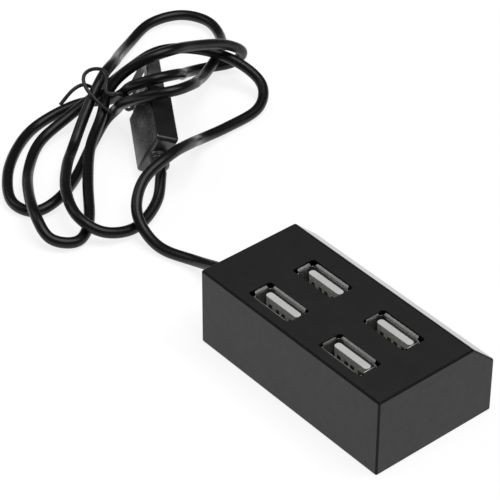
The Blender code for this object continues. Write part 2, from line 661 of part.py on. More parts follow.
case_plastic = make_material("case_plastic", (0.022, 0.022, 0.023), 0.55)
base_plastic = make_material("base_plastic", (0.015, 0.015, 0.016), 0.7)
tongue_plastic = make_material("tongue_plastic", (0.55, 0.55, 0.53), 0.5)
shell_steel = make_material("shell_steel", (0.62, 0.62, 0.60), 0.3, 1.0)
screw_steel = make_material("screw_steel", (0.35, 0.35, 0.36), 0.4, 1.0)
contact_gold = make_material("contact_gold", (0.83, 0.62, 0.25), 0.25, 1.0)
laminate = make_material("laminate", (0.02, 0.16, 0.06), 0.45)
chip_package = make_material("chip_package", (0.02, 0.02, 0.02), 0.6)
crystal_can = make_material("crystal_can", (0.6, 0.6, 0.6), 0.25, 1.0)
capacitor_sleeve = make_material("capacitor_sleeve", (0.03, 0.04, 0.12), 0.4)
soft_black = make_material("soft_black", (0.012, 0.012, 0.012), 0.35)
plug_plastic = make_material("plug_plastic", (0.02, 0.02, 0.021), 0.4)
plug_insulator_plastic = make_material("plug_insulator_plastic", (0.6, 0.6, 0.58), 0.5)
tie_plastic = make_material("tie_plastic", (0.015, 0.015, 0.015), 0.45)
core_plastics = [
    make_material("red_core", (0.5, 0.02, 0.02), 0.5),
    make_material("white_core", (0.7, 0.7, 0.68), 0.5),
    make_material("green_core", (0.02, 0.3, 0.06), 0.5),
    make_material("black_core", (0.02, 0.02, 0.02), 0.5),
]

make_top_cover(case_plastic)
make_base_plate(base_plastic)
make_screws(screw_steel)
make_sockets(shell_steel, tongue_plastic, contact_gold)
make_circuit_board(laminate)
make_board_parts(chip_package, crystal_can, capacitor_sleeve)
make_grommet(soft_black)
make_wires(core_plastics)
make_cord(soft_black)
make_plug(plug_plastic, shell_steel, plug_insulator_plastic, contact_gold)
make_twist_tie(tie_plastic)
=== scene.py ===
"""Looks for the four-port USB hub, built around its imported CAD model.

Metres, +Z up, in the CAD model's own frame: the hub stands at the origin with its long side along X and
its chamfer along +Y. The lead leaves the -X end, lies folded in loops that a twist tie holds, and ends in
a USB-A plug.
"""

from math import cos, pi, radians, sin

import bmesh
import bpy
from mathutils import Matrix, Vector


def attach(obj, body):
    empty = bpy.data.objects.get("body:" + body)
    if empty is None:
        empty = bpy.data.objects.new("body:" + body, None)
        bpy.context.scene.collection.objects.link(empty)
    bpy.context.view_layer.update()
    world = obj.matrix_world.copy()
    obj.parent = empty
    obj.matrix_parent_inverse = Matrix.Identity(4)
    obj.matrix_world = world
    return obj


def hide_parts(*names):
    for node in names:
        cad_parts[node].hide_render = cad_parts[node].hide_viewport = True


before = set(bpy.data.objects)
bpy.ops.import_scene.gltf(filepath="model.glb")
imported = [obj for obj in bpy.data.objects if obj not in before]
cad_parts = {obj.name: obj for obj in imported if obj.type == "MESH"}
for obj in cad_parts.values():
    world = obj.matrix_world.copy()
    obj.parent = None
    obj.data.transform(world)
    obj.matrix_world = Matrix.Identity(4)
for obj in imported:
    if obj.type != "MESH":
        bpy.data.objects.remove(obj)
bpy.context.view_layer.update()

MM = 0.001
ROUND_STEPS = 48  # sides of a turned piece or a round hole

# Camera
CAMERA_AZIMUTH = radians(49.92)
CAMERA_ELEVATION = radians(37.55)
CAMERA_ROLL = radians(0.2)
CAMERA_TARGET = Vector((-50.6, 13.8, 0)) * MM
CAMERA_DISTANCE = 611.2 * MM
CAMERA_LENS = 176.46

# Case
CASE_LENGTH = 61.5 * MM
CASE_WIDTH = 35.5 * MM
CASE_HEIGHT = 21.3 * MM
CHAMFER_ACROSS = 6.8 * MM
CHAMFER_DOWN = 6.4 * MM
SIDE_WALL = 1.5 * MM
TOP_WALL = 1.2 * MM
EDGE_ROUND = 0.45 * MM
OPENING_X = (-10.3 * MM, 14.0 * MM)
OPENING_Y = (-11.4 * MM, 1.9 * MM)
OPENING_SIZE = (14.1 * MM, 6.7 * MM)
OPENING_ROUND = 0.7 * MM
RIM_ROUND = 0.12 * MM
RIM_THICKNESS = 0.5 * MM
RIM_MARGIN = 0.9 * MM
OPENING_CUT = 6 * MM
CORD_HOLE_RADIUS = 2.7 * MM
CORD_HOLE_DEPTH = 6 * MM

# Sockets
SOCKET_X = (-10.2 * MM, 13.5 * MM)
SOCKET_Y = (-11.2 * MM, 1.85 * MM)
MOUTH_SIZE = (12.5 * MM, 5.12 * MM)
SHEET = 0.3 * MM
SHELL_BOTTOM = 6.5 * MM
LIP_TOP = CASE_HEIGHT - RIM_THICKNESS - 0.05 * MM
LIP_BEND = 0.35 * MM
LIP_TURN = radians(45)
LIP_FLAT = 0.6 * MM
LIP_FOOT = LIP_TOP - LIP_BEND * sin(LIP_TURN) - LIP_FLAT * cos(LIP_TURN)
LONG_LIP = 11.3 * MM
SHORT_LIP = 3.9 * MM
LIP_SQUEEZE = 0.25 * MM
SHELL_CORNER = 0.55 * MM
SHEET_EDGE = 0.05 * MM
TONGUE_SIZE = (11.1 * MM, 1.84 * MM)
TONGUE_SHIFT = 1.12 * MM
TONGUE_TIP = CASE_HEIGHT - 1.5 * MM
TONGUE_CORNER = 0.8 * MM
TONGUE_EDGE = 0.3 * MM
CONTACT_X = (-3.5 * MM, -1.0 * MM, 1.0 * MM, 3.5 * MM)
GROOVE_WIDTH = 1.2 * MM
GROOVE_CUT = 0.8 * MM
GROOVE_TOP = TONGUE_TIP - 1.8 * MM
FOOT_HEIGHT = 3.2 * MM
FOOT_SLACK = 0.2 * MM

# Lead, grommet and tie
CORD_RADIUS = 1.45 * MM
CORD_EXIT = Vector((-30.75, -3.0, 9.6)) * MM
CORD_INNER_X = -26.3 * MM
CORD_SIDES = 20
TIE_RADIUS = 0.5 * MM
TIE_SIDES = 12
STEPS = 14  # points from one point of a route to the next
EASINGS = 8
GROMMET_BORE = CORD_RADIUS + 0.02 * MM
GROMMET_NECK = 2.6 * MM
GROMMET_FLANGE = 3.1 * MM
GROMMET_EDGE = 0.1 * MM

# Plug: its frame has +X along the plugging direction, +Z along the plug's width
PLUG_FRONT = Vector((-104.8, 24.7, 11.05)) * MM
PLUG_YAW = radians(148.5)
PLUG_PITCH = radians(10)
PLUG_ROLL = radians(22)
OVERMOLD_SIZE = (20.0 * MM, 6.4 * MM, 13.4 * MM)
NUB_LENGTH = 3.5 * MM
NUB_RADIUS = 2.4 * MM
NUB_GAP = 0.3 * MM
PLUG_SHELL_SIZE = (11.75 * MM, 4.5 * MM, 12.0 * MM)
PLUG_SHELL_ROOT = 4.0 * MM
PLUG_SHELL_ROUND = 0.7 * MM
PLUG_HOLLOW_ROUND = 0.4 * MM
PLUG_SHEET_EDGE = 0.06 * MM
OVERMOLD_EDGE = 0.5 * MM
OVERMOLD_REAR = 1.5 * MM
POCKET_SLACK = 0.2 * MM
POCKET_ROUND = 0.6 * MM
WINDOW_SIZE = (2.0 * MM, 8 * MM, 2.4 * MM)
WINDOW_X = 6.7 * MM
WINDOW_Z = 2.9 * MM
WINDOW_ROUND = 0.15 * MM
SEAM_WIDTH = 0.08 * MM
SEAM_Z = 0.8 * MM
RIB_COUNT = 3
RIB_SWELL = 0.45 * MM
RIB_GROOVE = 0.35 * MM
RELIEF_SINK = 0.4 * MM
RELIEF_BORE = CORD_RADIUS + 0.05 * MM

# Room
FLOOR_GLOW = 0.82
FLOOR_SIZE = 6.0
WORLD_LIGHT = 0.08
# Each light's name, place, power in watts and side
SOFTBOXES = (
    ("top_box", (0.3, 0.1, 1.5), 15.0, 1.1),
    ("side_box", (-0.9, -0.5, 1.0), 2.5, 0.8),
    ("back_box", (0.65, 0.65, 1.25), 1.6, 0.5),
)

# The route of the lead from the grommet to the plug, through points in millimetres
CORD_ROUTE = [
    (-36, -3, 9.25), (-42, -2, 7), (-53.5, -1.5, 2.5), (-64.5, -4.5, 2), (-74, -3.5, 6),
    (-79.5, 3, 10.5), (-81.5, 13.5, 12.5), (-85.5, 23, 9.5), (-91.5, 31, 4), (-93.5, 42.5, 2),
    (-95, 54, 2), (-101, 60, 4.5), (-110.5, 58, 8), (-119.5, 52, 9.5), (-124.5, 43, 10),
    (-122.5, 31.5, 10), (-119.5, 20, 9.5), (-120.5, 9, 5), (-119, -1, 2.5), (-111.5, -10, 2),
    (-101, -17.5, 4.5), (-90.5, -23, 6), (-83, -24, 3), (-79, -18.5, 1.75), (-83.5, -11.5, 2),
    (-94.5, -3.5, 4), (-105.5, 5.5, 5), (-112.5, 14.5, 7), (-115.5, 20, 12.5), (-111.5, 25.5, 19.5),
    (-108, 34, 22), (-110, 44, 18.5), (-111.5, 55.5, 13.5), (-112, 62.5, 8), (-115.5, 61.5, 3),
    (-119.5, 55, 2), (-117.5, 46.5, 5), (-109.5, 39.5, 11.5), (-102, 32.5, 18.5), (-101.5, 25, 20.5),
    (-106.5, 20.5, 17.5), (-113, 22, 11), (-118.5, 21.5, 6.5), (-124, 15, 5), (-126, 4, 2.5),
    (-122, -5.5, 2), (-113, -15.5, 2.5), (-103, -21.5, 2), (-96, -19.5, 1.75), (-95.5, -12.5, 2.5),
    (-101, -2.5, 2), (-109.5, 8.5, 1.75), (-114.5, 17, 3.5), (-113, 20, 7), (-107, 18, 13),
    (-98.5, 19.5, 19), (-94, 25.5, 20.5), (-96.5, 33.5, 18), (-105, 40.5, 11), (-112, 49, 6),
    (-118.5, 59.5, 5.5), (-127.5, 67.5, 3), (-137, 70.5, 2.5), (-144.5, 66.5, 2.5), (-147, 57.5, 2),
    (-142.5, 47, 2), (-135, 37.5, 5.5), (-126, 29.5, 11.5), (-120, 21, 13.5), (-116, 12.5, 8.5),
    (-111, 4, 3), (-103.5, -3.5, 4.5), (-93, -11.5, 6.5), (-83, -15.5, 6), (-76, -12.5, 3.5),
    (-74, -4, 2), (-77.5, 5.5, 3.5),
]

# The twist tie: one end, behind the bundle, over it, a loop, and over it again to the other end
TIE_ROUTE = [
    (-122, 8.25, 8.75), (-122, 10.25, 10.25), (-122, 12.25, 11.5), (-121.75, 14.25, 12.25),
    (-121.75, 16, 12), (-121.75, 17.5, 11), (-122, 19, 9.75), (-122, 20.5, 8.5), (-121.25, 22, 7.5),
    (-120, 23.25, 6.5), (-118.25, 24, 6.25), (-116.25, 24, 6.25), (-114.25, 23.25, 6.5),
    (-112.25, 22.5, 6.75), (-110.75, 22, 7.25), (-109.5, 21.75, 8), (-108.75, 21.75, 8.75),
    (-108.25, 21.75, 10), (-107.5, 21.75, 12), (-109.75, 18.5, 14.25), (-111.5, 16, 14.75),
    (-114, 18, 16.25), (-115.75, 19.25, 16.75), (-117.5, 19.75, 17), (-119, 19.25, 17),
    (-120.25, 18.25, 16.75), (-121, 17, 16.25), (-121, 15.75, 15.5), (-120, 14.75, 14.5),
    (-118, 14.25, 13.25), (-115.75, 14.5, 12), (-113.5, 15, 10.75), (-111.5, 15.75, 9.5),
    (-109.75, 16.75, 8.25),
]


# Materials

def new_material(name, roughness, metallic=0.0, specular=0.5):
    material = bpy.data.materials.new(name)
    material.use_nodes = True
    shader = material.node_tree.nodes["Principled BSDF"]
    shader.inputs["Roughness"].default_value = roughness
    shader.inputs["Metallic"].default_value = metallic
    shader.inputs["Specular IOR Level"].default_value = specular
    return material, material.node_tree, shader


def add_noise(tree, size, stretch=(1, 1, 1), detail=2.0):
    """Noise whose features are about this size in metres, drawn out along an axis by a stretch above 1."""
    place = tree.nodes.new("ShaderNodeTexCoord")
    mapping = tree.nodes.new("ShaderNodeMapping")
    mapping.inputs["Scale"].default_value = [1 / factor for factor in stretch]
    texture = tree.nodes.new("ShaderNodeTexNoise")
    texture.inputs["Scale"].default_value = 1 / size
    texture.inputs["Detail"].default_value = detail
    tree.links.new(place.outputs["Object"], mapping.inputs["Vector"])
    tree.links.new(mapping.outputs["Vector"], texture.inputs["Vector"])
    return texture.outputs["Fac"]


def add_range(tree, value, low, high, target):
    """Feeds a number from low to high to the target as the noise goes from dark to light."""
    ranged = tree.nodes.new("ShaderNodeMapRange")
    ranged.inputs["From Min"].default_value = 0.3
    ranged.inputs["From Max"].default_value = 0.7
    ranged.inputs["To Min"].default_value = low
    ranged.inputs["To Max"].default_value = high
    tree.links.new(value, ranged.inputs["Value"])
    tree.links.new(ranged.outputs["Result"], target)


def add_shades(tree, value, dark, light, target):
    """Feeds a colour between two shades to the target."""
    ramp = tree.nodes.new("ShaderNodeValToRGB")
    ramp.color_ramp.elements[0].position = 0.3
    ramp.color_ramp.elements[0].color = (*dark, 1.0)
    ramp.color_ramp.elements[1].position = 0.7
    ramp.color_ramp.elements[1].color = (*light, 1.0)
    tree.links.new(value, ramp.inputs["Fac"])
    tree.links.new(ramp.outputs["Color"], target)


def add_bump(tree, shader, heights):
    """Stacks bumps, each a (value, depth in metres), on the shader's normal."""
    normal = None
    for value, depth in heights:
        bump = tree.nodes.new("ShaderNodeBump")
        bump.inputs["Distance"].default_value = depth
        tree.links.new(value, bump.inputs["Height"])
        if normal is not None:
            tree.links.new(normal, bump.inputs["Normal"])
        normal = bump.outputs["Normal"]
    tree.links.new(normal, shader.inputs["Normal"])


def moulded(name, dark, light, roughness, grain, depth, specular=0.5):
    """Moulded plastic: a fine grain, a slow drift of shade and gloss, and a faint waviness."""
    material, tree, shader = new_material(name, sum(roughness) / 2, 0.0, specular)
    drift = add_noise(tree, 9 * MM, detail=3.0)
    add_shades(tree, drift, dark, light, shader.inputs["Base Color"])
    add_range(tree, add_noise(tree, 2.2 * MM), *roughness, shader.inputs["Roughness"])
    add_bump(tree, shader, [(drift, 0.012 * MM), (add_noise(tree, grain), depth)])
    return material


def plated(name, dark, light, roughness, along, depth=0.004 * MM):
    """Plated or brushed metal: fine lines drawn out along one axis, and soft stains."""
    material, tree, shader = new_material(name, sum(roughness) / 2, 1.0)
    lines = add_noise(tree, 0.12 * MM, [18 if axis == along else 1 for axis in "XYZ"], 3.0)
    add_shades(tree, add_noise(tree, 1.1 * MM, detail=4.0), dark, light, shader.inputs["Base Color"])
    add_range(tree, lines, *roughness, shader.inputs["Roughness"])
    add_bump(tree, shader, [(lines, depth)])
    return material


def jacket(name, dark, light, roughness, ripple, specular=0.5):
    """Soft extruded plastic: smooth and glossy, with a slow ripple and dull patches."""
    material, tree, shader = new_material(name, sum(roughness) / 2, 0.0, specular)
    add_shades(tree, add_noise(tree, 4 * MM, detail=3.0), dark, light, shader.inputs["Base Color"])
    add_range(tree, add_noise(tree, 1.6 * MM, detail=4.0), *roughness, shader.inputs["Roughness"])
    add_bump(tree, shader, [(add_noise(tree, 2.5 * MM), ripple), (add_noise(tree, 0.3 * MM), 0.004 * MM)])
    return material


def dress(material, *names):
    """Gives CAD nodes their finish."""
    for name in names:
        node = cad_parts[name]
        node.data.materials.clear()
        node.data.materials.append(material)


# Geometry

def catmull_rom(points, t):
    """The point at t, counted in points, on a smooth curve through all of them."""
    i = min(int(t), len(points) - 2)
    u = t - i
    b, c = points[i], points[i + 1]
    a = points[i - 1] if i > 0 else 2 * b - c
    d = points[i + 2] if i + 2 < len(points) else 2 * c - b
    return 0.5 * (2 * b + (c - a) * u + (2 * a - 5 * b + 4 * c - d) * u**2 + (3 * b - a - 3 * c + d) * u**3)


def smooth_route(points):
    """A dense path through the points, eased a little so that its bends run into each other."""
    count = (len(points) - 1) * STEPS
    path = [catmull_rom(points, index / STEPS) for index in range(count + 1)]
    for _ in range(EASINGS):
        inner = [(a + 2 * b + c) / 4 for a, b, c in zip(path, path[1:], path[2:])]
        path = [path[0], *inner, path[-1]]
    return path


def tube(name, points, radius, sides, material):
    """A closed tube along the points, whose rings turn as little as they can from one to the next."""
    bm = bmesh.new()
    across = (points[1] - points[0]).orthogonal()
    rings = []
    for index, point in enumerate(points):
        heading = (points[min(index + 1, len(points) - 1)] - points[max(index - 1, 0)]).normalized()
        across = (across - heading * across.dot(heading)).normalized()
        other = heading.cross(across)
        angles = [2 * pi * side / sides for side in range(sides)]
        ring = [point + radius * (across * cos(angle) + other * sin(angle)) for angle in angles]
        rings.append([bm.verts.new(place) for place in ring])
    for near, far in zip(rings, rings[1:]):
        for i in range(sides):
            j = (i + 1) % sides
            bm.faces.new((near[i], near[j], far[j], far[i]))
    bm.faces.new(rings[0][::-1])
    bm.faces.new(rings[-1])
    return mesh_piece(name, bm, material)


def link(obj):
    bpy.context.scene.collection.objects.link(obj)
    return obj


def mesh_piece(name, bm, *materials):
    """The bmesh as a smooth-shaded object."""
    bm.normal_update()
    for face in bm.faces:
        face.smooth = True
    mesh = bpy.data.meshes.new(name)
    bm.to_mesh(mesh)
    bm.free()
    for material in materials:
        mesh.materials.append(material)
    return link(bpy.data.objects.new(name, mesh))


def add_box(bm, size, centre):
    place = Matrix.Translation(centre) @ Matrix.Diagonal((*size, 1.0))
    return bmesh.ops.create_cube(bm, size=1.0, matrix=place)["verts"]


def edges_along(bm, axis):
    across = [i for i in range(3) if i != axis]
    return [e for e in bm.edges if all(abs((e.verts[0].co - e.verts[1].co)[i]) < 1e-7 for i in across)]


def round_edges(bm, edges, radius, segments, material=-1):
    bmesh.ops.bevel(
        bm, geom=edges, offset=radius, segments=segments, profile=0.5, affect="EDGES", material=material
    )


def rounded_bar(size, centre, radius, segments=5, axis=2):
    """A box whose four edges along one axis are rounded."""
    bm = bmesh.new()
    add_box(bm, size, centre)
    round_edges(bm, edges_along(bm, axis), radius, segments)
    return bm


def combine(obj, bm, operation):
    """Cuts the bmesh out of the object, or adds it, for good."""
    other = mesh_piece("other", bm)
    modifier = obj.modifiers.new("combine", "BOOLEAN")
    modifier.operation = operation
    modifier.object = other
    modifier.solver = "EXACT"
    settle(obj)
    bpy.data.objects.remove(other, do_unlink=True)


def settle(obj):
    """Applies the object's modifiers."""
    graph = bpy.context.evaluated_depsgraph_get()
    mesh = bpy.data.meshes.new_from_object(obj.evaluated_get(graph))
    obj.modifiers.clear()
    obj.data = mesh


def soften(obj, width, segments=2, angle=40):
    """Rounds the sharp edges and keeps the broad faces flat in shading."""
    bevel = obj.modifiers.new("soften", "BEVEL")
    bevel.width = width
    bevel.segments = segments
    bevel.limit_method = "ANGLE"
    bevel.angle_limit = radians(angle)
    obj.modifiers.new("flat_faces", "WEIGHTED_NORMAL").keep_sharp = True


def turned(name, profile, material):
    """A solid of revolution about Z from a closed profile of (radius, height) points."""
    bm = bmesh.new()
    verts = [bm.verts.new((radius, 0.0, height)) for radius, height in profile]
    edges = [bm.edges.new(pair) for pair in zip(verts, verts[1:] + verts[:1])]
    bmesh.ops.spin(bm, geom=verts + edges, cent=(0, 0, 0), axis=(0, 0, 1), angle=2 * pi, steps=ROUND_STEPS)
    bmesh.ops.remove_doubles(bm, verts=bm.verts[:], dist=1e-6)
    bmesh.ops.recalc_face_normals(bm, faces=bm.faces[:])
    return mesh_piece(name, bm, material)


def finish_piece(obj, slot, *nodes):
    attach(obj, "root")
    if nodes:
        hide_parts(*nodes)
    return obj


# Camera

def make_camera():
    back = Vector((
        sin(CAMERA_AZIMUTH) * cos(CAMERA_ELEVATION),
        -cos(CAMERA_AZIMUTH) * cos(CAMERA_ELEVATION),
        sin(CAMERA_ELEVATION),
    ))
    data = bpy.data.cameras.new("camera")
    data.lens = CAMERA_LENS
    data.clip_start = 0.01
    camera = link(bpy.data.objects.new("camera", data))
    turn = (-back).to_track_quat("-Z", "Y").to_matrix().to_4x4()
    place = Matrix.Translation(CAMERA_TARGET + back * CAMERA_DISTANCE)
    camera.matrix_world = place @ turn @ Matrix.Rotation(CAMERA_ROLL, 4, "Z")
    bpy.context.scene.camera = camera


# Lead, plug and tie

def plug_matrix():
    turn = Matrix.Rotation(PLUG_YAW, 4, "Z") @ Matrix.Rotation(-PLUG_PITCH, 4, "Y")
    return Matrix.Translation(PLUG_FRONT) @ turn @ Matrix.Rotation(PLUG_ROLL, 4, "X")


def make_lead(material):
    inner = Vector((CORD_INNER_X, CORD_EXIT.y, CORD_EXIT.z))
    outlet = CORD_EXIT - Vector((2 * MM, 0, 0))
    nub_end = -(OVERMOLD_SIZE[0] + NUB_LENGTH + NUB_GAP)
    approach, end = (plug_matrix() @ Vector((x, 0, 0)) for x in (nub_end - 2 * MM, nub_end))
    route = [outlet, *(Vector(point) * MM for point in CORD_ROUTE), approach]
    path = [inner, *smooth_route(route), end]
    return finish_piece(tube("lead", path, CORD_RADIUS, CORD_SIDES, material), "soft_black", "cord"), path


def make_tie(material):
    points = smooth_route([Vector(point) * MM for point in TIE_ROUTE])
    return finish_piece(tube("tie_wire", points, TIE_RADIUS, TIE_SIDES, material), "tie_plastic", "twist_tie")


def make_plug_body(material):
    """The overmold: soft edges, rounder at the lead's end, and a pocket that the steel shell stands in."""
    length, thickness, width = OVERMOLD_SIZE
    bm = bmesh.new()
    add_box(bm, OVERMOLD_SIZE, (-length / 2, 0, 0))
    rear = [e for e in bm.edges if all(v.co.x < -length / 2 for v in e.verts)]
    round_edges(bm, rear, OVERMOLD_REAR, 5)
    body = mesh_piece("plug_body", bm, material)
    pocket_depth = PLUG_SHELL_ROOT + NUB_GAP
    pocket = (2 * pocket_depth, *(side + POCKET_SLACK for side in PLUG_SHELL_SIZE[1:]))
    combine(body, rounded_bar(pocket, (0, 0, 0), POCKET_ROUND, axis=0), "DIFFERENCE")
    soften(body, OVERMOLD_EDGE, 3)
    body.matrix_world = plug_matrix()
    return finish_piece(body, "plug_plastic", "plug_overmold")


def make_plug_relief(material):
    """The ribbed nub that the lead runs into."""
    pitch = NUB_LENGTH / RIB_COUNT
    profile = [(RELIEF_BORE, NUB_LENGTH), (RELIEF_BORE, -RELIEF_SINK)]
    profile.append((NUB_RADIUS + 0.5 * MM, -RELIEF_SINK))
    for rib in range(RIB_COUNT):
        radius = NUB_RADIUS + RIB_SWELL * (1 - rib / RIB_COUNT)
        start = rib * pitch
        profile += [(radius, start + 0.1 * MM), (radius, start + 0.7 * pitch)]
        profile += [(radius - RIB_GROOVE, start + share * pitch) for share in (0.8, 0.95)]
    profile[-2:] = [(NUB_RADIUS, NUB_LENGTH - 0.3 * MM), (NUB_RADIUS - 0.3 * MM, NUB_LENGTH)]
    relief = turned("plug_relief", profile, material)
    soften(relief, 0.08 * MM)
    turn = Matrix.Rotation(radians(-90), 4, "Y")
    relief.matrix_world = plug_matrix() @ Matrix.Translation((-OVERMOLD_SIZE[0], 0, 0)) @ turn
    return finish_piece(relief, "plug_plastic")


def make_plug_shell(material):
    """The plug's steel tube, folded from sheet: two latch windows each side and a seam along a broad side."""
    length, thickness, width = PLUG_SHELL_SIZE
    full = length + PLUG_SHELL_ROOT
    middle = (length - PLUG_SHELL_ROOT) / 2
    tube_size = (full, thickness, width)
    solid = rounded_bar(tube_size, (middle, 0, 0), PLUG_SHELL_ROUND, axis=0)
    shell = mesh_piece("plug_sheath", solid, material)
    hollow = (full + 2 * MM, thickness - 2 * SHEET, width - 2 * SHEET)
    combine(shell, rounded_bar(hollow, (middle, 0, 0), PLUG_HOLLOW_ROUND, axis=0), "DIFFERENCE")
    for side in (-1, 1):
        window = rounded_bar(WINDOW_SIZE, (WINDOW_X, 0, side * WINDOW_Z), WINDOW_ROUND, axis=1)
        combine(shell, window, "DIFFERENCE")
    seam = bmesh.new()
    add_box(seam, (full + 2 * MM, 1 * MM, SEAM_WIDTH), (middle, thickness / 2, SEAM_Z))
    combine(shell, seam, "DIFFERENCE")
    soften(shell, PLUG_SHEET_EDGE)
    shell.matrix_world = plug_matrix()
    return finish_piece(shell, "shell_steel", "plug_shell")


def make_grommet(material):
    """The bush in the end wall that the lead comes out of."""
    profile = [
        (GROMMET_BORE, 1.15 * MM),
        (2.1 * MM, 1.15 * MM),
        (2.7 * MM, 1.0 * MM),
        (GROMMET_FLANGE, 0.7 * MM),
        (GROMMET_FLANGE, 0.05 * MM),
        (GROMMET_NECK, 0.0),
        (GROMMET_NECK, -SIDE_WALL),
        (GROMMET_BORE, -SIDE_WALL),
    ]
    grommet = turned("lead_grommet", profile, material)
    soften(grommet, GROMMET_EDGE)
    grommet.matrix_world = Matrix.Translation(CORD_EXIT) @ Matrix.Rotation(radians(-90), 4, "Y")
    return finish_piece(grommet, "soft_black", "cord_grommet")


# Case

def case_block(side_inset, top_inset, bottom):
    """The case's block, chamfered along its +Y top edge, with its faces moved in by the insets."""
    bm = bmesh.new()
    height = CASE_HEIGHT - top_inset - bottom
    size = (CASE_LENGTH - 2 * side_inset, CASE_WIDTH - 2 * side_inset, height)
    add_box(bm, size, (0, 0, bottom + height / 2))
    normal = Vector((0, CHAMFER_DOWN, CHAMFER_ACROSS)).normalized()
    lower_edge = Vector((0, CASE_WIDTH / 2, CASE_HEIGHT - CHAMFER_DOWN))
    geometry = bm.verts[:] + bm.edges[:] + bm.faces[:]
    cut = bmesh.ops.bisect_plane(
        bm, geom=geometry, plane_co=lower_edge - side_inset * normal, plane_no=normal, clear_outer=True
    )
    rim = [item for item in cut["geom_cut"] if isinstance(item, bmesh.types.BMEdge)]
    bmesh.ops.contextual_create(bm, geom=rim)
    return bm


def make_case(plastic, edge_plastic, gloss_plastic):
    """The cover: matt faces, dull edges, a polished chamfer, and four openings over the sockets."""
    bm = case_block(0, 0, 0)
    bm.normal_update()
    for face in bm.faces:
        slanted = face.normal.y > 0.3 and face.normal.z > 0.3
        face.material_index = 2 if slanted else 0
    round_edges(bm, bm.edges[:], EDGE_ROUND, 4, 1)
    case = mesh_piece("case", bm, plastic, edge_plastic, gloss_plastic)
    combine(case, case_block(SIDE_WALL, TOP_WALL, -1 * MM), "DIFFERENCE")
    recess_size = [side + 2 * RIM_MARGIN for side in OPENING_SIZE]
    recess_z = CASE_HEIGHT - RIM_THICKNESS - TOP_WALL
    for x in OPENING_X:
        for y in OPENING_Y:
            opening = rounded_bar((*OPENING_SIZE, OPENING_CUT), (x, y, CASE_HEIGHT), OPENING_ROUND)
            combine(case, opening, "DIFFERENCE")
            recess = rounded_bar((*recess_size, 2 * TOP_WALL), (x, y, recess_z), OPENING_ROUND)
            combine(case, recess, "DIFFERENCE")
    hole = bmesh.new()
    place = Matrix.Translation(CORD_EXIT) @ Matrix.Rotation(radians(-90), 4, "Y")
    bmesh.ops.create_cone(
        hole,
        cap_ends=True,
        segments=ROUND_STEPS,
        radius1=CORD_HOLE_RADIUS,
        radius2=CORD_HOLE_RADIUS,
        depth=CORD_HOLE_DEPTH,
        matrix=place,
    )
    combine(case, hole, "DIFFERENCE")
    soften(case, RIM_ROUND, 2, 60)
    return finish_piece(case, "case_plastic", "top_cover")


# Sockets

def lip_profile():
    """(outward, upward) places up a lip's bend and along its flat end, from the top of the shell's wall."""
    arc = [LIP_TURN * step / 5 for step in range(1, 6)]
    bend = [(LIP_BEND * (1 - cos(angle)), LIP_BEND * sin(angle)) for angle in arc]
    out, up = bend[-1]
    return [*bend, (out + LIP_FLAT * sin(LIP_TURN), up + LIP_FLAT * cos(LIP_TURN))]


def shell_sheet():
    """The shell's outer skin about the origin: a tube with round corners and a lip on each side."""
    bm = bmesh.new()
    half = [side / 2 + SHEET for side in MOUTH_SIZE]
    ring, lips = [], []
    for quarter in range(4):
        along = Vector((cos(quarter * pi / 2), sin(quarter * pi / 2)))
        out = Vector((along.y, -along.x))
        reach = half[1] if quarter % 2 == 0 else half[0]
        span = half[0] if quarter % 2 == 0 else half[1]
        lip = (LONG_LIP if quarter % 2 == 0 else SHORT_LIP) / 2
        lips.append((len(ring), along, out))
        ring += [out * reach - along * lip, out * reach + along * lip]
        centre = out * (reach - SHELL_CORNER) + along * (span - SHELL_CORNER)
        for step in range(5):
            angle = step * pi / 8
            ring.append(centre + SHELL_CORNER * (out * cos(angle) + along * sin(angle)))
    levels = [SHELL_BOTTOM, LIP_FOOT]
    rows = [[bm.verts.new((*point, level)) for point in ring] for level in levels]
    for i in range(len(ring)):
        j = (i + 1) % len(ring)
        bm.faces.new((rows[0][i], rows[0][j], rows[1][j], rows[1][i]))
    for first, along, out in lips:
        pair = rows[1][first : first + 2]
        for index, (outward, upward) in enumerate(lip_profile()):
            squeeze = LIP_SQUEEZE if index == len(lip_profile()) - 1 else 0.0
            places = [ring[first] + along * squeeze, ring[first + 1] - along * squeeze]
            nearer = [bm.verts.new((*(place + out * outward), LIP_FOOT + upward)) for place in places]
            bm.faces.new((pair[0], pair[1], nearer[1], nearer[0]))
            pair = nearer
    return bm


def make_socket_shell(number, x, y, steel):
    shell = mesh_piece(f"socket_sheath_{number}", shell_sheet(), steel)
    solidify = shell.modifiers.new("sheet", "SOLIDIFY")
    solidify.thickness = SHEET
    solidify.offset = -1.0
    soften(shell, SHEET_EDGE)
    shell.location = (x, y, 0)
    return finish_piece(shell, "shell_steel", f"socket_shell_{number}")


